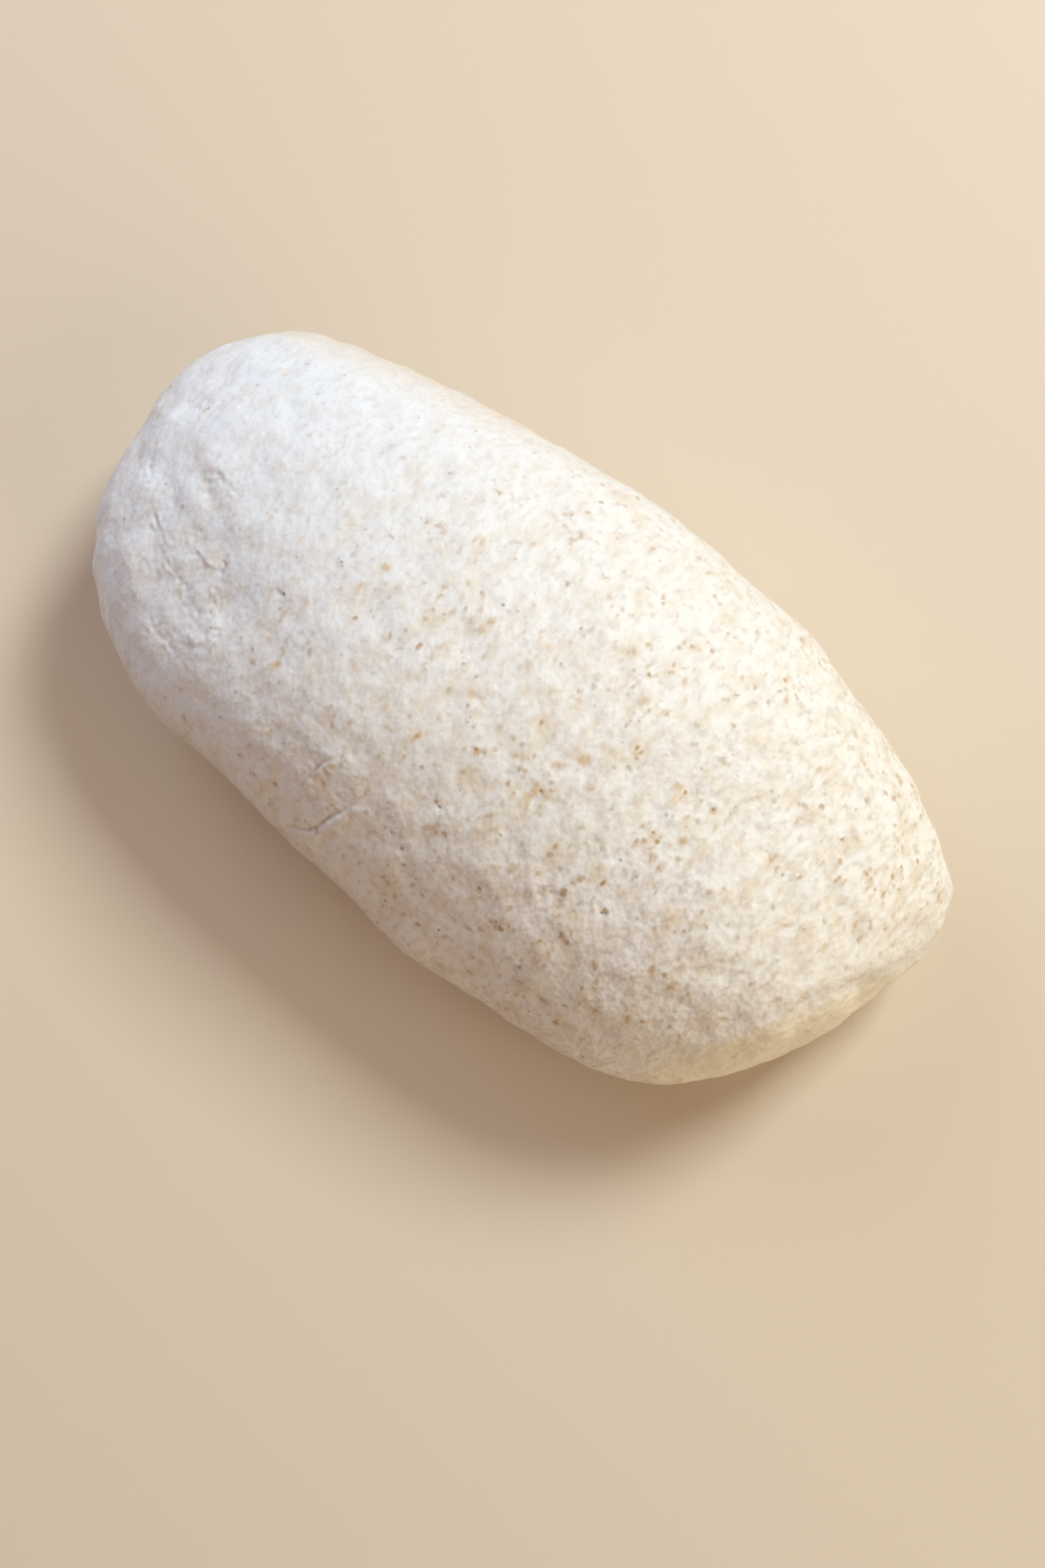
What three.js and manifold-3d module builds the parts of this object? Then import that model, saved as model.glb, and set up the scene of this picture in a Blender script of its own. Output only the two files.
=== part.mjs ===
// An unbaked wholewheat loaf: one log of dough, rolled up and pulled tight over its crown.
// It rests on the flat spot that its own weight presses. One end is pinched shut, and at the other end
// the dough is tucked under, which leaves a fold round the nose and a low lip below it.
//
// Millimetres, +Z up. +X runs along the loaf towards the tucked end, and +Y towards its back.
// The origin is on the resting plane, below the middle of the loaf's box.

import * as THREE from 'three';
import { mergeVertices } from 'three/addons/utils/BufferGeometryUtils.js';
import Module from 'manifold-3d';

// Overall size
const LENGTH = 200;
const WIDTH = 107;
const HEIGHT = 63;

// The belly is the widest line round the loaf. The underside would hang down to the keel, below the resting
// plane, if nothing pressed it flat.
const BELLY_HEIGHT = 24;
const KEEL_DEPTH = 36;

// Towards the tucked end the belly sags by this much.
const TUCKED_SAG = 9;

// The plan is widest a little past the middle, towards the tucked end.
const WIDEST_AT = 9.5;

// The tucked end stays this far behind its lip.
const TUCKED_SETBACK = 2;

// How much further each end runs out along its back than along the loaf's own line
const PINCHED_LEAN = 8.9;
const TUCKED_LEAN = 19.8;

// Fullness of each end towards its front corner, its back corner and its crown: 2 is a plain ellipse, and
// a larger number is a squarer corner.
const END_FULLNESS = {
  pinched: { front: 3.3, back: 2.6, crown: 2.3 },
  tucked: { front: 4.0, back: 2.2, crown: 2.1 },
};
const GIRTH_FULLNESS = 2.1;

// Marks of the hands: places on the skin where the dough swells (rise above 0) or is pressed in (below 0).
// Reach is how far from the place the mark fades.
const HAND_MARKS = [
  { name: 'back swell', x: 4, y: 52, z: 26, reach: 15, rise: 1.9 },
  { name: 'back hollow', x: -48, y: 48, z: 26, reach: 20, rise: -1.7 },
  { name: 'back knuckle', x: 42, y: 49, z: 26, reach: 11, rise: 2.3 },
  { name: 'back hollow by the tuck', x: 53, y: 47, z: 26, reach: 9, rise: -1.5 },
  { name: 'pinched shoulder', x: -86, y: 35, z: 28, reach: 9, rise: 1.1 },
  { name: 'pinched knuckle', x: -93, y: 14, z: 30, reach: 6, rise: 0.9 },
  { name: 'front swell', x: 17, y: -52, z: 26, reach: 13, rise: 2.7 },
  { name: 'front hollow', x: -38, y: -51, z: 26, reach: 15, rise: -1.4 },
  { name: 'front knuckle', x: -59, y: -47, z: 26, reach: 9, rise: 1.2 },
  { name: 'pinched crest', x: -74, y: 3, z: 50, reach: 11, rise: 1.1 },
  { name: 'thumb press', x: -66, y: -22, z: 50, reach: 12, rise: -2.3 },
  { name: 'thumb slide', x: -48, y: -25, z: 54, reach: 13, rise: -2.1 },
  { name: 'thumb edge', x: -63, y: -34, z: 45, reach: 9, rise: -1.2 },
  { name: 'front crown', x: -15, y: -29, z: 56, reach: 18, rise: 1.1 },
  { name: 'crown by the tuck', x: 59, y: -11, z: 56, reach: 13, rise: 2.2 },
  { name: 'nose crown', x: 80, y: -3, z: 48, reach: 12, rise: 1.3 },
  { name: 'nose', x: 86, y: -6, z: 38, reach: 18, rise: 2.6 },
  { name: 'front shoulder', x: 79, y: -22, z: 41, reach: 18, rise: 2.7 },
  { name: 'nose tip', x: 96, y: 27, z: 20, reach: 13, rise: 2.4 },
  { name: 'lip', x: 92, y: -9, z: 13, reach: 11, rise: 0.2 },
  { name: 'lip end', x: 90, y: -17, z: 13, reach: 10, rise: 1.8 },
  { name: 'fold at the back', x: 96, y: 12, z: 30, reach: 8, rise: -0.8 },
  { name: 'fold in the middle', x: 92, y: -3, z: 31, reach: 8, rise: -1.2 },
  { name: 'fold at the front', x: 86, y: -17, z: 33, reach: 8, rise: -1.4 },
];

// Facets round the girth and from end to end
const AROUND = 64;
const ALONG = 78;

const DOUGH_COLOUR = 0xded2c3;
const DOUGH_ROUGHNESS = 0.7;

const wasm = await Module();
wasm.setup();

// A unit sphere with its poles on the X axis and its doubled seam vertices merged
function longSphere(around, along) {
  const sphere = new THREE.SphereGeometry(1, around, along);
  sphere.rotateZ(-Math.PI / 2);
  sphere.deleteAttribute('normal');
  sphere.deleteAttribute('uv');
  return mergeVertices(sphere);
}

// Moves every vertex to the place that the given function returns for it.
function reshape(geometry, place) {
  const position = geometry.attributes.position;
  const point = new THREE.Vector3();
  for (let i = 0; i < position.count; i += 1) {
    point.fromBufferAttribute(position, i);
    const moved = place(point, i);
    position.setXYZ(i, moved.x, moved.y, moved.z);
  }
  return geometry;
}

// How square the loaf is in the direction of a point on the unit sphere: as full as the nearest corner of
// the plan at the belly, and as the crown over the top and underneath
function fullnessTowards(direction) {
  const turned = Math.hypot(direction.y, direction.z) || 1;
  const upright = (direction.z / turned) ** 2;
  const end = direction.x < 0 ? END_FULLNESS.pinched : END_FULLNESS.tucked;
  const corner = direction.y < 0 ? end.front : end.back;
  return THREE.MathUtils.lerp(corner, end.crown, upright);
}

// A point of the smooth loaf, for a point on the unit sphere: the sphere is blown out towards a rounded
// block, stretched to the loaf's half sizes, and its ends are slanted.
function loafPoint(direction) {
  const fullness = fullnessTowards(direction);
  const girth = Math.abs(direction.y) ** GIRTH_FULLNESS + Math.abs(direction.z) ** GIRTH_FULLNESS;
  const along = Math.abs(direction.x) ** fullness;
  const blow = (along + girth ** (fullness / GIRTH_FULLNESS)) ** (-1 / fullness);
  const blown = direction.clone().multiplyScalar(blow);
  const pinched = blown.x < 0;
  const reach = LENGTH / 2 + (pinched ? WIDEST_AT : -WIDEST_AT - TUCKED_SETBACK);
  const lean = (pinched ? PINCHED_LEAN : TUCKED_LEAN) * blown.y * blown.x * Math.abs(blown.x);
  const belly = BELLY_HEIGHT - (pinched ? 0 : TUCKED_SAG * blown.x ** 2);
  const depth = blown.z > 0 ? HEIGHT - belly : KEEL_DEPTH;
  return new THREE.Vector3(
    WIDEST_AT + reach * blown.x + lean,
    (WIDTH / 2) * blown.y,
    belly + depth * blown.z,
  );
}

// How far the hand marks lift the skin at a point
function handLift(point) {
  let lift = 0;
  for (const mark of HAND_MARKS) {
    const away = Math.hypot(point.x - mark.x, point.y - mark.y, point.z - mark.z) / mark.reach;
    lift += mark.rise * Math.exp(-away * away);
  }
  return lift;
}

// The whole log of dough with its hand marks, before it is pressed flat underneath
function makeLog() {
  const log = reshape(longSphere(AROUND, ALONG), loafPoint);
  log.computeVertexNormals();
  const outward = log.attributes.normal;
  const normal = new THREE.Vector3();
  reshape(log, (point, i) => {
    normal.fromBufferAttribute(outward, i);
    return normal.multiplyScalar(handLift(point)).add(point);
  });
  log.deleteAttribute('normal');
  return log;
}

// Everything below the resting plane, with room to spare on all sides
function makeUnderground() {
  const ground = new THREE.BoxGeometry(2 * LENGTH, 2 * WIDTH, HEIGHT);
  ground.translate(0, 0, -HEIGHT / 2);
  ground.deleteAttribute('normal');
  ground.deleteAttribute('uv');
  return mergeVertices(ground);
}

function toSolid(geometry) {
  const mesh = new wasm.Mesh({
    numProp: 3,
    vertProperties: new Float32Array(geometry.attributes.position.array),
    triVerts: new Uint32Array(geometry.index.array),
  });
  return new wasm.Manifold(mesh);
}

function toGeometry(solid) {
  const mesh = solid.getMesh();
  const geometry = new THREE.BufferGeometry();
  geometry.setAttribute('position', new THREE.BufferAttribute(mesh.vertProperties, 3));
  geometry.setIndex(new THREE.BufferAttribute(mesh.triVerts, 1));
  return geometry;
}

// Brings the box to the overall size, with its bottom centre at the origin.
function fitToSize(geometry) {
  geometry.computeBoundingBox();
  const box = geometry.boundingBox;
  const size = box.getSize(new THREE.Vector3());
  const middle = box.getCenter(new THREE.Vector3());
  geometry.translate(-middle.x, -middle.y, -box.min.z);
  geometry.scale(LENGTH / size.x, WIDTH / size.y, HEIGHT / size.z);
  geometry.computeVertexNormals();
  return geometry;
}

function makeLoaf() {
  const resting = toSolid(makeLog()).subtract(toSolid(makeUnderground()));
  const material = new THREE.MeshStandardMaterial({
    color: DOUGH_COLOUR,
    roughness: DOUGH_ROUGHNESS,
    metalness: 0,
  });
  const loaf = new THREE.Mesh(fitToSize(toGeometry(resting)), material);
  loaf.name = 'loaf';
  return loaf;
}

const unbakedLoaf = new THREE.Group();
unbakedLoaf.add(makeLoaf());

export default unbakedLoaf;
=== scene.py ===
# %% [markdown]
# # An unbaked wholewheat loaf
# A baker has rolled this dough into a log, pulled its skin tight and left it to rest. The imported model
# gives the log's true size and its large form, so this lesson starts by loading it. Everything after that
# adds what only a close look shows: lumps, creases, pits, bran and the soft gleam of raw dough.

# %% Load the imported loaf
import math
import random
from collections import namedtuple

import bmesh
import bpy
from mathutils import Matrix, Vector, noise
from mathutils.bvhtree import BVHTree
from mathutils.kdtree import KDTree


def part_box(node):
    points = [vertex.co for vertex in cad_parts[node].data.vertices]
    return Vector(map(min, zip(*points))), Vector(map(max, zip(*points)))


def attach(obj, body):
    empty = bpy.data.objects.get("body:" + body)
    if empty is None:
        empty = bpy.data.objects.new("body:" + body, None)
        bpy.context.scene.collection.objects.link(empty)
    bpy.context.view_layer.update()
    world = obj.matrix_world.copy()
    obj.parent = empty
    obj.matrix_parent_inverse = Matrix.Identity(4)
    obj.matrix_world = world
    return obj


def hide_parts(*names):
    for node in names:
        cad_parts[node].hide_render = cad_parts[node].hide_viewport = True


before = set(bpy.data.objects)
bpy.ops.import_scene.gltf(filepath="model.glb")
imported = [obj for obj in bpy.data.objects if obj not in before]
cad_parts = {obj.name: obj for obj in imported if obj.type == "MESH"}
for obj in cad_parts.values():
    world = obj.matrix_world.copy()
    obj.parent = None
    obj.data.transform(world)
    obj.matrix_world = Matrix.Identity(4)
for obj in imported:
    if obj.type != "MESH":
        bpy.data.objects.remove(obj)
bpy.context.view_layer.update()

MM = 0.001
loaf_low, loaf_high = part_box("loaf")
print("packed loaf, mm:", [round(side / MM, 1) for side in loaf_high - loaf_low])

# %% [markdown]
# ## The camera
# The picture looks almost straight down on the loaf, and the loaf lies slantwise in an upright frame. A
# camera could be placed by hand, but it is easier to check when it is worked out: a point to look at, two
# angles and a distance.

# %% Place the camera
AZIMUTH = math.radians(38.6)
ELEVATION = math.radians(80.0)
LOOK_AT = Vector((10.1, -7.6, 0)) * MM
DISTANCE = 369.2 * MM
LENS = 38.0
SENSOR = 36.0
NEAREST_SEEN = DISTANCE / 100

away = Vector((
    math.sin(AZIMUTH) * math.cos(ELEVATION),
    -math.cos(AZIMUTH) * math.cos(ELEVATION),
    math.sin(ELEVATION),
))
camera = bpy.data.objects.new("camera", bpy.data.cameras.new("camera"))
camera.data.lens = LENS
camera.data.sensor_width = SENSOR
camera.data.clip_start = NEAREST_SEEN
camera.location = LOOK_AT + away * DISTANCE
camera.rotation_mode = "QUATERNION"
camera.rotation_quaternion = (-away).to_track_quat("-Z", "Y")
bpy.context.scene.collection.objects.link(camera)
bpy.context.scene.camera = camera
print("camera at, mm:", [round(part / MM) for part in camera.location])

# %% [markdown]
# ## Light
# One lamp stands behind the loaf, half way up the sky, so the back of the crown is brightest, the front
# falls into a warm half shadow, and a soft shadow lies in front. Two wide and weaker lights fill the ends:
# a cool one from the pinched end, as from a window, and a warm one from the tucked end. A dim even world
# does the rest.

# %% Set up the lights
WORLD_COLOUR = (1.0, 0.62, 0.50, 1)
WORLD_STRENGTH = 0.285


def area_light(name, place, size, power, colour):
    """A square soft light at a place in metres, aimed at the middle of the loaf."""
    light = bpy.data.lights.new(name, "AREA")
    light.shape = "SQUARE"
    light.size = size
    light.energy = power
    light.color = colour
    lamp = bpy.data.objects.new(name, light)
    lamp.location = place
    lamp.rotation_mode = "QUATERNION"
    lamp.rotation_quaternion = (-Vector(place)).to_track_quat("-Z", "Y")
    bpy.context.scene.collection.objects.link(lamp)


area_light("lamp", place=(0.116, 0.828, 0.929), size=0.4, power=11.8, colour=(0.90, 0.99, 1.0))
area_light("warm_fill", place=(1.13, 0.0, 0.53), size=0.9, power=5.1, colour=(1.0, 0.97, 0.72))
area_light("window", place=(-1.02, 0.09, 0.72), size=0.9, power=5.5, colour=(0.64, 0.82, 1.0))

world = bpy.data.worlds.new("studio")
world.use_nodes = True
world.node_tree.nodes["Background"].inputs["Color"].default_value = WORLD_COLOUR
world.node_tree.nodes["Background"].inputs["Strength"].default_value = WORLD_STRENGTH
bpy.context.scene.world = world
bpy.context.scene.view_settings.view_transform = "Standard"

# %% [markdown]
# ## Shader maths in Python
# A material is a web of small nodes, and wiring each by hand hides what the maths says. This class holds
# one wire of that web and lets Python's own signs add the Math nodes, so `1 - mask` reads as it would on
# paper. Every other node comes from one method that sets the node up first and then fills its sockets.

# %% Wires and finishes
class Wire:
    """One output socket of a node, with arithmetic."""

    def __init__(self, finish, socket):
        self.finish = finish
        self.socket = socket

    def also(self, output):
        """Another output of the same node."""
        return Wire(self.finish, self.socket.node.outputs[output])

    def below(self, limit):
        """1 where the value is below a limit, and 0 elsewhere."""
        return self.finish.math("LESS_THAN", self, limit)

    def above(self, limit):
        """1 where the value is above a limit, and 0 elsewhere."""
        return self.finish.math("GREATER_THAN", self, limit)

    def __add__(self, other):
        return self.finish.math("ADD", self, other)

    def __sub__(self, other):
        return self.finish.math("SUBTRACT", self, other)

    def __rsub__(self, other):
        return self.finish.math("SUBTRACT", other, self)

    def __mul__(self, other):
        return self.finish.math("MULTIPLY", self, other)

    def __truediv__(self, other):
        return self.finish.math("DIVIDE", self, other)

    def __rtruediv__(self, other):
        return self.finish.math("DIVIDE", other, self)

    __radd__ = __add__
    __rmul__ = __mul__


class Finish:
    """A material that is built node by node."""

    def __init__(self, name):
        self.material = bpy.data.materials.new(name)
        self.material.use_nodes = True
        self.tree = self.material.node_tree
        self.shader = self.tree.nodes["Principled BSDF"]

    def fill(self, socket, value):
        """Links a wire to a socket, or sets the socket to a plain value."""
        if isinstance(value, Wire):
            self.tree.links.new(value.socket, socket)
        else:
            socket.default_value = value

    def node(self, kind, settings, sockets, output=0):
        """Adds a node, sets it up, fills its sockets and returns one of its outputs as a wire."""
        made = self.tree.nodes.new(kind)
        for name, value in settings.items():
            setattr(made, name, value)
        for name, value in sockets.items():
            self.fill(made.inputs[name], value)
        return Wire(self, made.outputs[output])

    def math(self, operation, first, second):
        return self.node("ShaderNodeMath", {"operation": operation}, {0: first, 1: second})

    def mix(self, share, first, second):
        """Blends two colours."""
        return self.node("ShaderNodeMix", {"data_type": "RGBA"}, {0: share, 6: first, 7: second}, 2)

    def ramp(self, value, low, high):
        """A value that rises softly from 0 to 1 as the given one goes from low to high."""
        return self.node(
            "ShaderNodeMapRange",
            {"interpolation_type": "SMOOTHSTEP"},
            {"Value": value, "From Min": low, "From Max": high},
        )


def paint(red, green, blue):
    """The shader's linear colour for a colour as a picture shows it, 0 to 255."""
    def linear(part):
        part /= 255
        return part / 12.92 if part <= 0.04045 else ((part + 0.055) / 1.055) ** 2.4
    return (linear(red), linear(green), linear(blue), 1.0)


print("a pale cream in shader numbers:", [round(part, 3) for part in paint(228, 219, 206)])

# %% [markdown]
# ## The floor
# A plain pale floor catches the shadow and throws warm light back on the underside of the loaf. It is one
# large square, a hair below the resting plane, so that it never flickers through the flat underside.

# %% Make the floor
FLOOR_SIZE = 6.0
FLOOR_DROP = 0.2 * MM
FLOOR_COLOUR = paint(219, 204, 182)
FLOOR_ROUGHNESS = 0.8

floor_finish = Finish("pale_floor")
floor_finish.shader.inputs["Base Color"].default_value = FLOOR_COLOUR
floor_finish.shader.inputs["Roughness"].default_value = FLOOR_ROUGHNESS

bm = bmesh.new()
bmesh.ops.create_grid(bm, x_segments=1, y_segments=1, size=FLOOR_SIZE / 2)
bmesh.ops.translate(bm, verts=bm.verts, vec=(0, 0, -FLOOR_DROP))
floor_mesh = bpy.data.meshes.new("floor")
bm.to_mesh(floor_mesh)
bm.free()
floor_mesh.materials.append(floor_finish.material)
floor = bpy.data.objects.new("floor", floor_mesh)
bpy.context.scene.collection.objects.link(floor)
print("floor, m:", FLOOR_SIZE)

# %% [markdown]
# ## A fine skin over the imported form
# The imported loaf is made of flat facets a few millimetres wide, and dough has none. One could model the
# skin again from nothing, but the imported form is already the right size, so a copy of it is rounded
# instead. First the loose triangles are merged and the rim of the flat underside is creased, which keeps it
# sharp. Then a Subdivision Surface rounds the facets, a Remesh lays an even net of small squares over them,
# and a Smooth takes out the net's own steps.

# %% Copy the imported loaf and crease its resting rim
MERGE_DISTANCE = 0.001 * MM
RESTING_HEIGHT = 0.01 * MM

bm = bmesh.new()
bm.from_mesh(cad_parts["loaf"].data)
bmesh.ops.remove_doubles(bm, verts=bm.verts, dist=MERGE_DISTANCE)
crease_edge = bm.edges.layers.float.new("crease_edge")
resting_faces = {face for face in bm.faces if all(v.co.z < RESTING_HEIGHT for v in face.verts)}
rim = [edge for edge in bm.edges if len(resting_faces.intersection(edge.link_faces)) == 1]
for edge in rim:
    edge[crease_edge] = 1.0
skin_mesh = bpy.data.meshes.new("dough_skin")
bm.to_mesh(skin_mesh)
bm.free()
skin = bpy.data.objects.new("dough_skin", skin_mesh)
bpy.context.scene.collection.objects.link(skin)
print("copied", len(skin_mesh.polygons), "facets, with", len(rim), "edges round the flat underside")

# %% Round the facets and lay the net
ROUNDING_LEVELS = 2
NET_STEP = 1.75 * MM
NET_SMOOTHING = 0.5
NET_SMOOTHINGS = 5

rounding = skin.modifiers.new("round_facets", "SUBSURF")
rounding.levels = ROUNDING_LEVELS
rounding.render_levels = ROUNDING_LEVELS
net = skin.modifiers.new("even_net", "REMESH")
net.mode = "VOXEL"
net.voxel_size = NET_STEP
easing = skin.modifiers.new("ease_net", "SMOOTH")
easing.factor = NET_SMOOTHING
easing.iterations = NET_SMOOTHINGS


def apply_modifiers(piece):
    """Makes the shape that the modifiers show the piece's own mesh."""
    depsgraph = bpy.context.evaluated_depsgraph_get()
    shown = bpy.data.meshes.new_from_object(piece.evaluated_get(depsgraph))
    piece.modifiers.clear()
    piece.data = shown


apply_modifiers(skin)
print("the net has", len(skin.data.vertices), "points")

# %% [markdown]
# ## Creases
# Where the baker pinched the end shut the skin is puckered, two tears show on the front, and a fold runs
# round the nose of the tucked end. A crease is a short line on the skin. Its groove is pressed in (a groove
# below zero is a rib), its lip is a narrow roll beside the groove, and its shelf is a step: the skin on the
# left of the line stands higher. Each line is named by a few points in millimetres. They are laid on the
# skin, and a smooth curve is drawn through them.

# %% Name the creases
Crease = namedtuple("Crease", "name width groove lip shelf points")
CREASES = [
    Crease("pinch_groove", width=0.55, groove=0.26, lip=0.08, shelf=0.0, points=[
        (-77, -17, 48), (-75.4, -18.5, 48), (-73.8, -19.4, 48), (-72.6, -20.4, 49),
    ]),
    Crease("pinch_notch", width=0.6, groove=0.24, lip=0.06, shelf=0.0, points=[
        (-85.3, -10, 45), (-83.7, -10.8, 46), (-81.8, -11.6, 46),
    ]),
    Crease("pinch_crescent", width=0.6, groove=-0.22, lip=0.0, shelf=0.05, points=[
        (-65.7, -16.7, 52), (-64.3, -18, 52), (-62, -19, 53), (-60, -19.3, 53), (-58, -18.8, 54),
    ]),
    Crease("pinch_rib", width=0.5, groove=-0.16, lip=0.0, shelf=0.0, points=[
        (-69.5, -24.6, 49), (-67.2, -24.9, 49), (-64.9, -25.2, 50),
    ]),
    Crease("low_wrinkle_a", width=0.7, groove=0.16, lip=0.05, shelf=0.0, points=[
        (-61.3, -28.4, 50), (-58.2, -29.6, 50), (-55, -30.7, 50),
    ]),
    Crease("low_wrinkle_b", width=0.65, groove=0.1, lip=0.03, shelf=0.0, points=[
        (-56.2, -25.7, 52), (-55.6, -27.3, 52), (-53.6, -27.8, 52),
    ]),
    Crease("low_wrinkle_c", width=0.7, groove=0.14, lip=0.05, shelf=0.0, points=[
        (-63.6, -35.7, 44), (-61, -36, 45), (-58.3, -36, 46),
    ]),
    Crease("low_rib_a", width=0.65, groove=-0.11, lip=0.0, shelf=0.0, points=[
        (-55.5, -24.5, 53), (-54, -25.3, 53), (-53, -27, 53),
    ]),
    Crease("low_rib_b", width=0.7, groove=-0.14, lip=0.0, shelf=0.0, points=[
        (-56.6, -33.3, 48), (-54.3, -32.8, 49), (-52, -32.4, 50), (-51, -29.8, 52),
    ]),
    Crease("ring_dent", width=0.6, groove=0.18, lip=0.0, shelf=0.0, points=[
        (-68.6, -6.8, 52), (-68.7, -5.3, 52), (-67.9, -4.2, 52), (-66.5, -4.2, 53), (-64.5, -5, 53),
    ]),
    Crease("shoulder_step", width=1.0, groove=0.25, lip=0.1, shelf=0.55, points=[
        (-80, 3.4, 49), (-83, 2, 47), (-87, 1.7, 45), (-90.6, 2.9, 42), (-93.7, 4.2, 39), (-97, 6, 32),
        (-99, 7, 25),
    ]),
    Crease("shoulder_rib", width=0.6, groove=-0.2, lip=0.0, shelf=0.0, points=[
        (-87, 4.7, 45), (-86, 6.4, 46), (-83.4, 6.4, 47),
    ]),
    Crease("upper_tear", width=0.5, groove=0.6, lip=0.12, shelf=0.2, points=[
        (-13.8, -32, 55), (-15.7, -34, 53), (-16.7, -36, 52), (-17.2, -38.5, 50), (-18, -41.7, 47),
    ]),
    Crease("lower_tear", width=0.6, groove=0.8, lip=0.12, shelf=0.32, points=[
        (-7.6, -37.3, 51), (-7.6, -39, 50), (-9.5, -41.6, 47), (-10.8, -44, 44), (-12.2, -46.3, 41),
        (-14, -47.4, 39), (-16.3, -48, 37), (-18.5, -48.8, 35),
    ]),
    Crease("middle_scratch", width=0.5, groove=0.26, lip=0.1, shelf=0.0, points=[
        (2, -8.4, 62), (2.2, -6, 63), (2.5, -4, 63), (2.7, -2, 63),
    ]),
    Crease("front_streak", width=0.5, groove=0.3, lip=0.1, shelf=0.0, points=[
        (33, -31.4, 55), (33, -29.7, 56), (33.3, -27.8, 57),
    ]),
    Crease("nose_fold", width=1.4, groove=0.25, lip=0.1, shelf=0.35, points=[
        (75.6, -26.5, 46), (77.6, -22.9, 47), (79.9, -18.8, 47), (82.3, -14.5, 47), (85.9, -8.7, 45),
        (89.5, -2.4, 40), (92.4, 3, 35), (94.9, 8.2, 31), (96.3, 13.1, 29),
    ]),
]

# %% Lay the creases on the skin
CURVE_STEP = 0.25 * MM


def smooth_curve(points, step):
    """Closely spaced places on a smooth curve (a Catmull-Rom spline) through the points."""
    ends = [points[0], *points, points[-1]]
    places = []
    for a, b, c, d in zip(ends, ends[1:], ends[2:], ends[3:]):
        count = max(2, int((c - b).length / step))
        for i in range(count):
            t = i / count
            bend = (2 * b - 2 * c + (c - a) / 2 + (d - b) / 2) * t ** 3
            bend += (a - 2.5 * b + 2 * c - d / 2) * t ** 2
            places.append(bend + (c - a) / 2 * t + b)
    return places


def on_skin(tree, points):
    """The places on the skin nearest to points in mm."""
    return [tree.find_nearest(Vector(point) * MM)[0] for point in points]


bm = bmesh.new()
bm.from_mesh(skin.data)
skin_tree = BVHTree.FromBMesh(bm)
bm.free()
curves = {crease.name: smooth_curve(on_skin(skin_tree, crease.points), CURVE_STEP) for crease in CREASES}
print("creases, mm:", {name: round(len(curve) * CURVE_STEP / MM) for name, curve in curves.items()})

# %% [markdown]
# ## Marks
# Three kinds of marks can be told apart on this loaf and keep their own places: dents that fingers left,
# pale golden flakes of bran under the skin, and dark specks that sit in small pits. Each is a place, a
# radius and a strength. For dents and specks the strength is a depth in millimetres, and for flakes it is
# how much shows.

# %% Name the marks
Mark = namedtuple("Mark", "x y z radius strength")
DENTS = [
    (-74.6, -13.2, 49, 1.3, 0.26), (-75.8, -7.3, 49, 1.0, 0.14), (-79.8, -8.1, 48, 0.8, 0.16),
    (-69, -8.5, 51, 2.8, 0.25), (-69.8, -19.6, 50, 0.8, 0.22), (-67.4, -22.8, 50, 0.8, 0.18),
    (-63.9, -25.2, 50, 0.9, 0.22), (-58.5, -16.3, 54, 0.8, 0.16), (-76.6, -31.5, 41, 1.2, 0.15),
    (-44.2, -16.4, 58, 1.4, 0.2), (-82.9, -2.4, 47, 1.0, 0.18), (-79.8, -3.4, 48, 0.8, 0.16),
    (-63, 9, 55, 1.0, 0.14), (-60.1, 15.6, 55, 1.0, 0.12), (-83.9, 12.4, 46, 0.9, 0.14),
    (-79.2, 12.7, 49, 1.1, 0.14), (-75.6, 12.4, 50, 0.9, 0.14), (-70.6, 12.8, 52, 2.0, 0.14),
    (-67.6, 16.1, 53, 1.5, 0.14), (-0.2, -8.8, 62, 1.0, 0.22),
]
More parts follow.
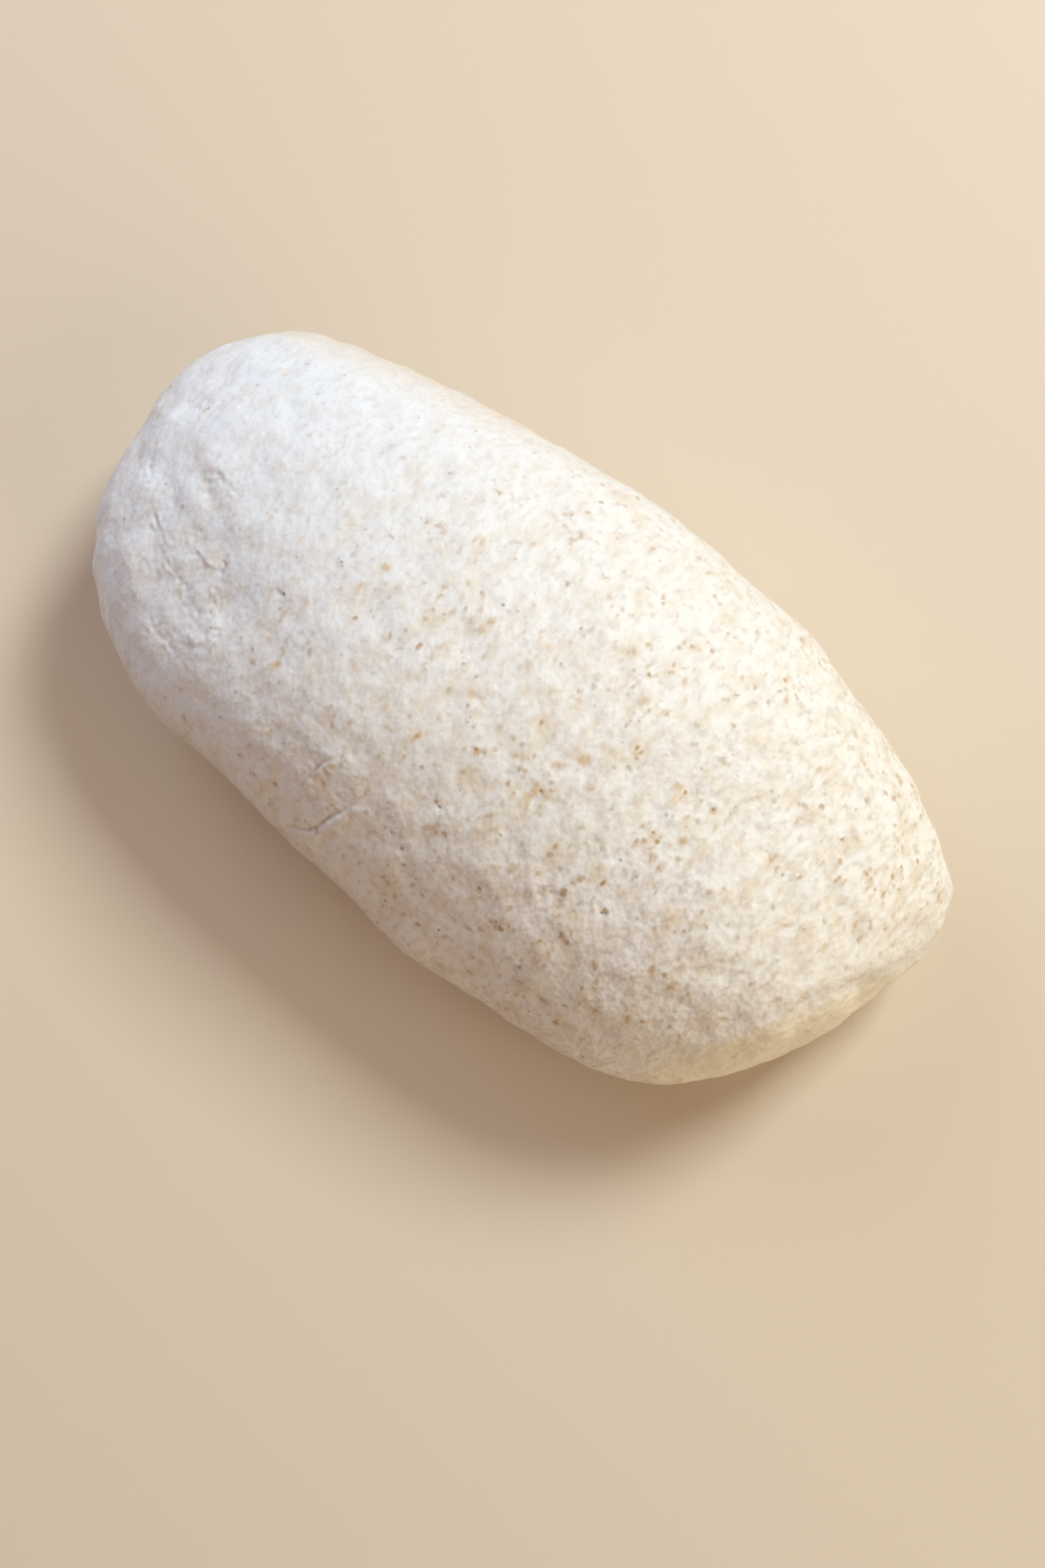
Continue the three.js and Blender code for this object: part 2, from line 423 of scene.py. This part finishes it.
FLAKES = [
    (19, -17.4, 61, 1.9, 0.9), (19.7, -15, 61, 1.7, 1.0), (23.2, -5.4, 63, 1.8, 1.0),
    (13, -12.8, 62, 1.7, 0.7), (19.2, -9.4, 62, 1.3, 0.7), (11.9, 7.8, 63, 1.1, 0.7),
    (15.2, 2.7, 63, 1.0, 0.8), (21, 2.1, 63, 1.0, 0.6), (28.4, 9.9, 62, 1.2, 0.5),
    (-0.2, -8.8, 62, 1.6, 0.5), (70.8, -5.4, 53, 1.0, 1.0), (80, -11.8, 45, 1.2, 0.8),
    (88, 15, 41, 0.9, 0.6), (78.9, 1.9, 49, 2.4, 0.5), (-75.2, 22.7, 48, 2.2, 0.6),
    (-82.5, 5.7, 48, 0.9, 0.8), (-9.8, -39.7, 49, 1.3, 0.8), (3.6, -29.2, 57, 1.1, 0.7),
    (-1, -28.7, 57, 0.8, 0.7), (-61.8, -28.1, 50, 0.9, 0.6), (-30.5, -5.8, 61, 1.9, 0.6),
    (-13.2, -19.9, 60, 1.9, 0.6), (-6.2, -16.4, 61, 1.3, 0.6), (-6.5, 3.4, 63, 1.4, 0.7),
    (4.3, 7.5, 63, 1.3, 0.7), (-11.6, 1.1, 63, 1.8, 0.5), (-22.2, -18.1, 60, 2.0, 0.5),
    (-6.1, -7.7, 62, 1.9, 0.4), (6.4, -16.2, 61, 1.2, 0.6), (-46.3, -5.1, 59, 1.2, 0.5),
    (77.4, -15.6, 46, 1.2, 0.6), (86.5, 2.2, 42, 1.0, 0.6), (41.1, 0.1, 61, 1.6, 0.7),
    (47.6, 2.4, 60, 1.0, 0.7), (-43.2, -2.2, 59, 1.0, 0.6), (-38.3, -13.9, 59, 1.1, 0.6),
    (-35.1, -26.4, 55, 1.8, 0.7), (-40.4, 2.7, 60, 1.4, 0.5), (-29.5, 0.4, 61, 1.4, 0.6),
    (-21, -10.7, 62, 1.6, 0.5), (-9.6, -23.3, 60, 1.2, 0.6), (-77.5, 11.6, 50, 0.8, 0.6),
]
SPECKS = [
    (5.4, -38.7, 50, 0.6, 0.25), (6.9, -28.8, 57, 0.55, 0.25), (36.9, -42.2, 46, 0.55, 0.2),
    (28.2, -38.4, 50, 0.5, 0.2), (39.8, -15.9, 60, 0.55, 0.2), (44.2, 13.4, 60, 0.45, 0.15),
    (-7.2, 18.5, 61, 0.55, 0.2), (-7.3, 8.3, 62, 0.5, 0.2), (6.9, 14, 62, 0.45, 0.15),
    (19.3, -25.9, 58, 0.5, 0.2), (30.6, 0.8, 62, 0.45, 0.15), (20.3, -15, 61, 0.5, 0.15),
    (-38.8, 13.7, 59, 0.45, 0.2), (-37.1, -3.9, 60, 0.5, 0.2), (-42.7, -15.5, 58, 0.55, 0.2),
    (-65.6, 21.6, 52, 0.45, 0.15), (-81.9, 6.2, 48, 0.5, 0.2), (6, -16.3, 61, 0.5, 0.15),
    (42.4, -3.4, 61, 0.5, 0.15), (65.3, 1.7, 56, 0.45, 0.15), (43.1, -25.6, 57, 0.5, 0.2),
    (47.5, 2.6, 60, 0.45, 0.15), (22, -36, 53, 0.5, 0.2), (20, -46, 42, 0.5, 0.2),
]


def places_of(marks):
    """The places of some marks on the skin, with their radii and strengths."""
    marks = [Mark(*numbers) for numbers in marks]
    spots = on_skin(skin_tree, [(mark.x, mark.y, mark.z) for mark in marks])
    return [(spot, mark.radius * MM, mark.strength) for spot, mark in zip(spots, marks)]


dents = places_of(DENTS)
flakes = places_of(FLAKES)
specks = places_of(SPECKS)
print("dents, flakes and specks:", len(dents), len(flakes), len(specks))

# %% [markdown]
# ## A closer net where it shows
# One net must serve the wide smooth belly and creases half a millimetre across. A fine net everywhere would
# cost far too many faces, so the net is halved once on the upper side, and twice more along the narrow
# creases and round the specks. The wide creases do without.

# %% Divide the net
UPPER_HEIGHT = 22 * MM
NEAR_CREASE = (3.0 * MM, 1.8 * MM)
WIDE_CREASE = 1.0


def divide(bm, faces):
    """Halves the edges of some faces, which makes four faces of each."""
    edges = {edge for face in faces for edge in face.edges}
    bmesh.ops.subdivide_edges(bm, edges=list(edges), cuts=1, use_grid_fill=True)


def find_tree(places):
    """A tree that finds the nearest of some places."""
    tree = KDTree(len(places))
    for i, place in enumerate(places):
        tree.insert(place, i)
    tree.balance()
    return tree


fine_places = [spot for spot, radius, depth in specks]
for crease in CREASES:
    if crease.width < WIDE_CREASE:
        fine_places += curves[crease.name]
fine_near = find_tree(fine_places)
bm = bmesh.new()
bm.from_mesh(skin.data)
divide(bm, [face for face in bm.faces if face.calc_center_median().z > UPPER_HEIGHT])
for reach in NEAR_CREASE:
    divide(bm, [face for face in bm.faces if fine_near.find(face.calc_center_median())[2] < reach])
bm.to_mesh(skin.data)
bm.free()
print("the net now has", len(skin.data.vertices), "points")

# %% [markdown]
# ## Lumps under the skin
# Dough is never quite even: gas and the turns of the roll leave broad lumps, and the tight skin over them
# has a finer grain that is drawn out round the girth. The two ends were handled most, so they are dented
# most. All are made by pushing each point along its normal by a noise that reads the point's place in the
# loaf, so it gives the same dough each time.

# %% Push out the lumps, the dents and the grain
LUMP_SIZE = 17 * MM
LUMP_HEIGHT = 0.40 * MM
LUMP_FALLOFF = 1.0
LUMP_STEP = 2.0
LUMP_LAYERS = 2
HANDLED_SIZE = 6.0 * MM
HANDLED_HEIGHT = 0.60 * MM
HANDLED_SHIFT = Vector((7, 3, 1))
HANDLED_ENDS = (-35 * MM, 20 * MM)
HANDLED_RISE = (35 * MM, 65 * MM)
LEAST_HANDLED = 0.6
GRAIN_SIZE = 3.0 * MM
GRAIN_HEIGHT = 0.23 * MM
LEAST_GRAIN = 0.5
GIRTH_STRETCH = 1.6


def push_out(piece, lift):
    """Moves each point of a piece along its normal by the height that lift gives for its place."""
    bm = bmesh.new()
    bm.from_mesh(piece.data)
    bm.normal_update()
    heights = [lift(vertex.co) for vertex in bm.verts]
    for vertex, height in zip(bm.verts, heights):
        vertex.co += vertex.normal * height
    bm.to_mesh(piece.data)
    bm.free()
    return heights


def lumps(place):
    """The height of the lumps, the handled dents and the grain at a place."""
    broad = noise.fractal(place / LUMP_SIZE, LUMP_FALLOFF, LUMP_STEP, LUMP_LAYERS)
    pinched = (HANDLED_ENDS[0] - place.x) / HANDLED_RISE[0]
    tucked = (place.x - HANDLED_ENDS[1]) / HANDLED_RISE[1]
    handled = min(1.0, max(LEAST_HANDLED, pinched, tucked))
    dent = noise.noise(place / HANDLED_SIZE + HANDLED_SHIFT)
    drawn = Vector((place.x, place.y / GIRTH_STRETCH, place.z / GIRTH_STRETCH))
    grain = (LEAST_GRAIN + (1 - LEAST_GRAIN) * handled) * noise.noise(drawn / GRAIN_SIZE)
    return LUMP_HEIGHT * broad + handled * HANDLED_HEIGHT * dent + GRAIN_HEIGHT * grain


heights = push_out(skin, lumps)
print("lumps from", round(min(heights) / MM, 2), "to", round(max(heights) / MM, 2), "mm")

# %% [markdown]
# ## Press the creases
# Each point near a curve is moved along its normal. How far depends on how far across the curve it lies: a
# narrow dip for the groove, a narrow roll for the lip, and for the shelf a rise that falls off steeply on
# one side and slowly on the other. Along the curve a noise makes it deeper and shallower, and it fades at
# the ends. Each point also keeps a number, from 0 to 1, that says how deep in a groove it lies, which the
# finish reads to paint shade into the grooves.

# %% Find where a point lies beside a curve
LOOK_AHEAD = 2


def nearest_places(near, curve, reach):
    """For each point within reach of a curve, its distance and which place of the curve is nearest."""
    nearest = {}
    for i, place in enumerate(curve):
        for spot, index, distance in near.find_range(place, reach):
            if index not in nearest or distance < nearest[index][0]:
                nearest[index] = (distance, i)
    return nearest


def beside(vertex, curve, i):
    """How far a point lies beside a place of a curve: above zero on the left, below zero on the right."""
    ahead = curve[min(i + LOOK_AHEAD, len(curve) - 1)] - curve[max(i - LOOK_AHEAD, 0)]
    offset = vertex.co - curve[i]
    sideways = offset - ahead.normalized() * offset.dot(ahead.normalized())
    return math.copysign(sideways.length, ahead.cross(offset).dot(vertex.normal))


print("places on the longest crease:", max(len(curve) for curve in curves.values()))

# %% Move the points near the curves
LIP_AT = 1.7
SHELF_SLOPES = (7.0, 0.9)
CREASE_REACH = 10.0
FADE_PART = 0.25
WAVER_SIZE = 2.0 * MM
WAVER_MEAN = 0.8
WAVER_SWING = 0.5
GROOVE_TIGHTNESS = 2


def crease_height(crease, across):
    """The height across a crease, in mm, at a distance from its line in widths."""
    height = crease.lip * math.exp(-(across - LIP_AT) ** 2) - crease.groove * math.exp(-across ** 2)
    slope = SHELF_SLOPES[0] if across > 0 else SHELF_SLOPES[1]
    return height + crease.shelf * math.exp(-(across / slope) ** 2)


def crease_share(curve, i, overshoot):
    """How much of a crease shows at a place of its curve, or past its end by some widths."""
    to_end = min(i + 0.5, len(curve) - i - 0.5) / len(curve)
    waver = WAVER_MEAN + WAVER_SWING * noise.noise(curve[i] / WAVER_SIZE)
    return min(1.0, to_end / FADE_PART) * waver * math.exp(-overshoot ** 2)


def press_creases(piece):
    """Presses the creases into a piece and returns how many points moved."""
    bm = bmesh.new()
    bm.from_mesh(piece.data)
    bm.normal_update()
    bm.verts.ensure_lookup_table()
    near = find_tree([vertex.co for vertex in bm.verts])
    moves = {}
    groove_shade_depths = {}
    for crease in CREASES:
        curve = curves[crease.name]
        width = crease.width * MM
        for index, (distance, i) in nearest_places(near, curve, CREASE_REACH * width).items():
            sideways = beside(bm.verts[index], curve, i)
            across = sideways / width
            share = crease_share(curve, i, max(0.0, distance - abs(sideways)) / width)
            depth = max(0.0, crease.groove) * share * math.exp(-GROOVE_TIGHTNESS * across ** 2)
            moves[index] = moves.get(index, 0.0) + crease_height(crease, across) * share * MM
            groove_shade_depths[index] = groove_shade_depths.get(index, 0.0) + depth
    for index, move in moves.items():
        bm.verts[index].co += bm.verts[index].normal * move
    bm.to_mesh(piece.data)
    bm.free()
    # The finish reads this number to paint shade into the grooves.
    numbers = piece.data.attributes.new("groove", "FLOAT", "POINT")
    for index, depth in groove_shade_depths.items():
        numbers.data[index].value = min(1.0, depth)
    return len(moves)


print("points moved by creases:", press_creases(skin))

# %% [markdown]
# ## Pits
# The dents and the specks are pressed in as round hollows. Gas that breaks through the skin leaves many
# more small pits all over. They are scattered with a seeded random draw. The flakes and the specks are also
# written on the skin as two numbers at each point, from 0 to 1, which the finish reads later.

# %% Write down the marks
FULL_FLAKE = 1.0
FULL_SPECK = 0.2


def write_marks(piece, name, marks, full):
    """Writes marks on the points of a piece, as a number that fades from a mark's middle to its rim. It is
    1 in the middle of a mark of full strength."""
    numbers = piece.data.attributes.new(name, "FLOAT", "POINT")
    near = find_tree([vertex.co for vertex in piece.data.vertices])
    for middle, radius, strength in marks:
        for spot, index, distance in near.find_range(middle, radius):
            shown = strength / full * (1 - (distance / radius) ** 2)
            numbers.data[index].value = max(numbers.data[index].value, shown)


write_marks(skin, "flake", flakes, FULL_FLAKE)
write_marks(skin, "speck", specks, FULL_SPECK)
shown = sum(number.value > 0 for name in ("flake", "speck") for number in skin.data.attributes[name].data)
print("points that a flake or a speck marks:", shown)

# %% Press the pits
PIT_COUNT = 1100
PIT_RADIUS = (0.8 * MM, 1.6 * MM)
PIT_DEPTH = (0.04, 0.14)
PIT_LOWEST = 12 * MM
PIT_SEED = 7


def scatter_pits(piece, seed):
    """Places, radii and depths of random pits on a piece."""
    draw = random.Random(seed)
    points = piece.data.vertices
    pits = []
    while len(pits) < PIT_COUNT:
        middle = points[draw.randrange(len(points))].co.copy()
        if middle.z > PIT_LOWEST:
            pits.append((middle, draw.uniform(*PIT_RADIUS), draw.uniform(*PIT_DEPTH)))
    return pits


def press_pits(piece, pits):
    """Presses round hollows into a piece."""
    bm = bmesh.new()
    bm.from_mesh(piece.data)
    bm.normal_update()
    bm.verts.ensure_lookup_table()
    near = find_tree([vertex.co for vertex in bm.verts])
    for middle, radius, depth in pits:
        for spot, index, distance in near.find_range(middle, radius):
            vertex = bm.verts[index]
            vertex.co -= vertex.normal * depth * MM * (1 - (distance / radius) ** 2) ** 2
    bm.to_mesh(piece.data)
    bm.free()


pits = scatter_pits(skin, PIT_SEED) + dents + specks
press_pits(skin, pits)
print("pits:", len(pits))

# %% [markdown]
# ## The resting spot
# The relief above also moved the underside. Resting dough is flat there, so every point that came near the
# resting plane, or went below it, is laid on it.

# %% Lay the underside flat
FLAT_BELOW = 0.5 * MM

bm = bmesh.new()
bm.from_mesh(skin.data)
low = [vertex for vertex in bm.verts if vertex.co.z < FLAT_BELOW]
for vertex in low:
    vertex.co.z = 0.0
bm.to_mesh(skin.data)
bm.free()
for polygon in skin.data.polygons:
    polygon.use_smooth = True
print("points on the resting plane:", len(low))

# %% [markdown]
# ## The dough's finish
# Raw wholewheat dough is a pale grey cream, matte but a little moist. It is painted in layers, each mixed
# over the one below it by a mask: the ground with its haze and meal, then the flecks, then the marks, and
# last the lip and the rim. Every mask reads a place in the dough in millimetres, so the pattern stays in
# the dough. An image could be wrapped round the loaf instead, but it would need a seam and go blurred close
# up.

# %% Places in the dough, in millimetres
dough = Finish("raw_dough")
metres = dough.node("ShaderNodeTexCoord", {}, {}, "Object")
place = dough.node("ShaderNodeVectorMath", {"operation": "SCALE"}, {0: metres, "Scale": 1 / MM})
drawn = dough.node("ShaderNodeVectorMath", {"operation": "MULTIPLY"}, {
    0: place, 1: (1, 1 / GIRTH_STRETCH, 1 / GIRTH_STRETCH),
})
along = dough.node("ShaderNodeSeparateXYZ", {}, {"Vector": place}, "X")
across = along.also("Y")
height = along.also("Z")
print("nodes that read places:", len(dough.tree.nodes))

# %% [markdown]
# ## Where the skin differs
# Flour from the hands whitens the pinched end, and a painted cool tint of window light lies there too.
# Towards the tucked end the skin is coarser, but it is drawn smooth over the nose and over the lip beyond
# the fold, and the lip is lightened with painted warm bounce light, less of it low down. The rim of the
# pinched half, and the back of it most, is made duller with painted shade and, at the back, a painted brown
# reflection. Each of these is a share from 0 to 1 that rises softly along the loaf, across it or with its
# height. Painting them by hand on the points would do too, but numbers are easier to change.

# %% Work out the shares
FLOURED_ALONG = (30.0, -85.0)
COARSE_ALONG = (10.0, 65.0)
FOLD_ALONG = 0.86
FOLD_ACROSS = 0.51
FOLD_AT = 78.2
LIP_PAST_FOLD = (0.0, 4.0)
NOSE_PAST_FOLD = (-14.0, 3.0)
HEIGHT_FADE_RANGE = (8.0, 24.0)
LEAST_HEIGHT_FADE = 0.4
BACK_RIM_SLANT = 0.22
BACK_RIM_ACROSS = (42.0, 54.0)
BACK_RIM_ALONG = (10.0, -40.0)
RIM_HEIGHTS = (42.0, 20.0)
RIM_ALONG = (35.0, -15.0)

floured = dough.ramp(along, *FLOURED_ALONG)
coarse = dough.ramp(along, *COARSE_ALONG)
past_fold = along * FOLD_ALONG - across * FOLD_ACROSS - FOLD_AT
height_fade = LEAST_HEIGHT_FADE + (1 - LEAST_HEIGHT_FADE) * dough.ramp(height, *HEIGHT_FADE_RANGE)
# The lip's share carries painted warm bounce light, faded towards the bottom.
lip = dough.ramp(past_fold, *LIP_PAST_FOLD) * height_fade
nose = dough.ramp(past_fold, *NOSE_PAST_FOLD) * height_fade
# Painted shade and a painted brown reflection on the back rim of the pinched half.
shaded_back_rim = dough.ramp(across - BACK_RIM_SLANT * along, *BACK_RIM_ACROSS)
shaded_back_rim = shaded_back_rim * dough.ramp(along, *BACK_RIM_ALONG)
# Painted shade on the low rim of the pinched half, under its overhanging belly.
shaded_pinched_rim = dough.ramp(height, *RIM_HEIGHTS) * dough.ramp(along, *RIM_ALONG)
print("nodes with the shares:", len(dough.tree.nodes))

# %% [markdown]
# ## The ground
# Under the flecks lie three soft noises. The broadest makes the bran patchy. A middling one is a tan haze,
# bran that shows through the skin, and the finest is grey meal. The finest is also kept to shift the places
# of the flecks and to eat into their rims, so that no fleck is round.

# %% Share out the bran
BROAD_SIZE = 10
BROAD_DETAIL = 2.0
PATCHES = (0.38, 0.62)
LEAST_PATCH = 0.45
PATCH_SWING = 0.6
LESS_WHERE_FLOURED = 0.7
TUCK_ALONG = (30.0, 80.0)
MORE_BY_TUCK = 0.1
BACK_ACROSS = (-5.0, 35.0)
LESS_AT_BACK = 0.3
LESS_ON_NOSE = 0.72


def cloud(where, size, detail):
    """A soft noise around 0.5 with features of a size in mm."""
    sockets = {"Vector": where, "Scale": 1 / size, "Detail": detail}
    return dough.node("ShaderNodeTexNoise", {}, sockets, "Fac")


broad = cloud(place, BROAD_SIZE, BROAD_DETAIL)
bran_share = 1 - LESS_WHERE_FLOURED * floured + MORE_BY_TUCK * dough.ramp(along, *TUCK_ALONG)
bran_share = bran_share - LESS_AT_BACK * dough.ramp(across, *BACK_ACROSS)
bran_share = bran_share * (LEAST_PATCH + PATCH_SWING * dough.ramp(broad, *PATCHES))
bran_share = bran_share * (1 - LESS_ON_NOSE * nose)
print("nodes with the bran's share:", len(dough.tree.nodes))

# %% Mix the ground
GROUND_COLOUR = paint(237, 234, 227)
FLOURED_COOL_LIT_COLOUR = paint(231, 235, 240)
LESS_FLOUR_AT_SHADED_RIM = 0.9
HAZE_COLOUR = paint(219, 198, 162)
HAZE_SIZE = 3.8
HAZE_DETAIL = 2.0
HAZE_PART = (0.42, 0.72)
LEAST_HAZE = 0.06
BRAN_HAZE = 0.52
MEAL_COLOUR = paint(207, 196, 181)
MEAL_SIZE = 1.5
MEAL_DETAIL = 1.5
MEAL_PART = (0.40, 0.72)
MEAL_SHOWS = 0.36
LESS_MEAL_WHERE_FLOURED = 0.18
MORE_MEAL_WHERE_COARSE = 0.16
LESS_MEAL_ON_NOSE = 0.4

# The floured colour carries flour and a painted cool tint of window light; it fades under the rim's painted
# shade.
ground = dough.mix(floured * (1 - LESS_FLOUR_AT_SHADED_RIM * shaded_back_rim), GROUND_COLOUR, FLOURED_COOL_LIT_COLOUR)
haze = dough.ramp(cloud(drawn, HAZE_SIZE, HAZE_DETAIL), *HAZE_PART) * (LEAST_HAZE + BRAN_HAZE * bran_share)
ground = dough.mix(haze, ground, HAZE_COLOUR)
mealy = cloud(drawn, MEAL_SIZE, MEAL_DETAIL)
meal = MEAL_SHOWS - LESS_MEAL_WHERE_FLOURED * floured + MORE_MEAL_WHERE_COARSE * coarse
meal = dough.ramp(mealy, *MEAL_PART) * meal * (1 - LESS_MEAL_ON_NOSE * nose)
ground = dough.mix(meal, ground, MEAL_COLOUR)
print("nodes with the ground:", len(dough.tree.nodes))

# %% [markdown]
# ## Flecks
# Bran, flour and pores are small spots of many sizes. A Voronoi pattern fills space with cells, and each
# cell gets one spot, whose size, kind and strength are drawn from the cell's own random colour. Three such
# patterns are enough: small bran with white grains of flour, which also stand for painted glints of moist
# skin, fine dark pores, and larger golden flecks with a darker core.

# %% Spots in cells
SHIFT = 1.3
RIM_EATEN = 2.6

ragged = dough.node("ShaderNodeVectorMath", {"operation": "MULTIPLY_ADD"}, {
    0: mealy.also("Color"), 1: (SHIFT, SHIFT, SHIFT), 2: place,
})
uneven = (mealy - 0.5) * RIM_EATEN


def cells(size, small, large):
    """Spots in cells of a size, with radii from small to large, all in mm. Gives how far inside a spot
    a place lies, from 0 at its rim to 1 in its middle, and two random numbers of its cell."""
    distance = dough.node("ShaderNodeTexVoronoi", {}, {"Vector": ragged, "Scale": 1 / size}, "Distance")
    luck = dough.node("ShaderNodeSeparateColor", {}, {"Color": distance.also("Color")}, "Red")
    radius = luck.also("Green") * ((large - small) / size) + small / size
    return 1 - distance / radius, luck, luck.also("Blue")


print("nodes with the shifted places:", len(dough.tree.nodes))

# %% Bran and flour
BRAN_COLOUR = paint(180, 144, 97)
BRAN_CELLS = 0.65
BRAN_EDGE = (0.0, 0.9)
LEAST_BRAN = 0.15
FLOUR_GRAIN_AND_GLINT_COLOUR = paint(248, 246, 241)
FLOUR_CELLS = 0.78
FLOUR_EDGE = (0.1, 1.0)
FLOUR_AND_GLINTS_SHOW = 0.65

inside, luck, tone = cells(size=1.8, small=0.50, large=1.00)
bran = dough.ramp(inside + uneven, *BRAN_EDGE) * luck.below(BRAN_CELLS)
bran = bran * (tone * tone * (1 - LEAST_BRAN) + LEAST_BRAN) * bran_share
flecked = dough.mix(bran, ground, BRAN_COLOUR)
# White grains of flour, which also serve as painted glints.
flour = dough.ramp(inside, *FLOUR_EDGE) * luck.above(FLOUR_CELLS) * FLOUR_AND_GLINTS_SHOW
flecked = dough.mix(flour, flecked, FLOUR_GRAIN_AND_GLINT_COLOUR)
print("nodes with bran and flour:", len(dough.tree.nodes))

# %% Pores
PORE_COLOUR = paint(148, 127, 104)
PORE_CELLS = 0.4
PORE_EDGE = (0.0, 0.8)
PORES_SHOW = 0.52

inside, luck, tone = cells(size=1.7, small=0.25, large=0.60)
pores = dough.ramp(inside + uneven, *PORE_EDGE) * luck.below(PORE_CELLS) * tone * tone * PORES_SHOW
flecked = dough.mix(pores, flecked, PORE_COLOUR)
print("nodes with the pores:", len(dough.tree.nodes))

# %% Golden flecks with darker cores
GOLDEN_COLOUR = paint(208, 174, 120)
GOLDEN_CELLS = 0.5
GOLDEN_EDGE = (0.0, 1.0)
GOLDEN_SHOWS = 0.6
LEAST_GOLDEN = 0.3
CORE_COLOUR = paint(142, 112, 78)
CORE_EDGE = (0.35, 1.0)
CORE_TONES = 0.55
CORES_SHOW = 0.25

inside, luck, tone = cells(size=3.6, small=0.7, large=1.9)
there = luck.below(GOLDEN_CELLS) * bran_share
golden = dough.ramp(inside + uneven, *GOLDEN_EDGE) * there * (tone * (1 - LEAST_GOLDEN) + LEAST_GOLDEN)
flecked = dough.mix(golden * GOLDEN_SHOWS, flecked, GOLDEN_COLOUR)
cores = dough.ramp(inside + uneven, *CORE_EDGE) * there * tone.above(CORE_TONES)
flecked = dough.mix(cores * CORES_SHOW, flecked, CORE_COLOUR)
print("nodes with the golden flecks:", len(dough.tree.nodes))

# %% [markdown]
# ## Marks, lip and rim
# The flakes, the specks and the grooves have their own places, which the points of the skin carry as
# numbers. An Attribute node reads such a number. The grooves get painted shade, together with the moister
# dough in them. Over them all go the lip, made creamier with painted warm bounce light, and the rim, made
# duller with painted shade and a painted brown reflection.

# %% Paint the marks, the lip and the rim
FLAKE_COLOUR = paint(208, 173, 116)
FLAKES_SHOW = 0.65
SPECK_COLOUR = paint(104, 88, 76)
SPECKS_SHOW = 0.50
MARK_EATEN = 1.2
GROOVE_SHADE_COLOUR = paint(140, 116, 94)
GROOVE_SHADE_SHOWS = 0.38
LIP_WARM_LIGHT_COLOUR = paint(236, 217, 178)
LIP_WARM_LIGHT_SHOWS = 0.45
RIM_SHADE_COLOUR = paint(198, 176, 150)
RIM_SHADE_SHOWS = 0.28
BACK_RIM_SHADE_SHOWS = 0.22


def written(name):
    """A number that the points of the skin carry."""
    return dough.node("ShaderNodeAttribute", {"attribute_name": name}, {}, "Fac")


def eaten(mark):
    """A mark with its rim made uneven."""
    return dough.ramp(mark * (1 + MARK_EATEN * uneven), 0.0, 1.0)


colour = dough.mix(eaten(written("flake")) * FLAKES_SHOW, flecked, FLAKE_COLOUR)
colour = dough.mix(eaten(written("speck")) * SPECKS_SHOW, colour, SPECK_COLOUR)
# Painted shade in the grooves, together with the moister, darker dough there.
colour = dough.mix(written("groove") * GROOVE_SHADE_SHOWS, colour, GROOVE_SHADE_COLOUR)
# Painted warm bounce light on the lip.
colour = dough.mix(lip * LIP_WARM_LIGHT_SHOWS, colour, LIP_WARM_LIGHT_COLOUR)
# Painted shade and a painted brown reflection on the rim.
colour = dough.mix(shaded_pinched_rim * RIM_SHADE_SHOWS + shaded_back_rim * BACK_RIM_SHADE_SHOWS, colour, RIM_SHADE_COLOUR)
dough.fill(dough.shader.inputs["Base Color"], colour)
print("nodes in the dough's colours:", len(dough.tree.nodes))

# %% [markdown]
# ## Gleam and grain
# Moist dough has a soft gleam that is patchy where flour has dried it, so the broad noise also varies the
# roughness. The meal stands up a little from the skin. Its grains are finer than the net, so a Bump node
# tilts the light on them instead.

# %% Give the dough its gleam and its fine grain
ROUGHNESS_LEAST = 0.45
ROUGHNESS_SWING = 0.25
GLEAM = 0.35
MEAL_HEIGHT = 0.36 * MM
MORE_GRAIN_WHERE_COARSE = 0.4

dough.fill(dough.shader.inputs["Roughness"], broad * ROUGHNESS_SWING + ROUGHNESS_LEAST)
dough.shader.inputs["Specular IOR Level"].default_value = GLEAM
bump = dough.node("ShaderNodeBump", {}, {
    "Height": mealy * (1 + MORE_GRAIN_WHERE_COARSE * coarse), "Distance": MEAL_HEIGHT,
}, "Normal")
dough.fill(dough.shader.inputs["Normal"], bump)
print("nodes in the dough's finish:", len(dough.tree.nodes))

# %% Put the finish on the skin
skin.data.materials.clear()
skin.data.materials.append(dough.material)
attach(skin, "root")
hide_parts("loaf")
print("triangles in the skin:", sum(len(polygon.vertices) - 2 for polygon in skin.data.polygons))
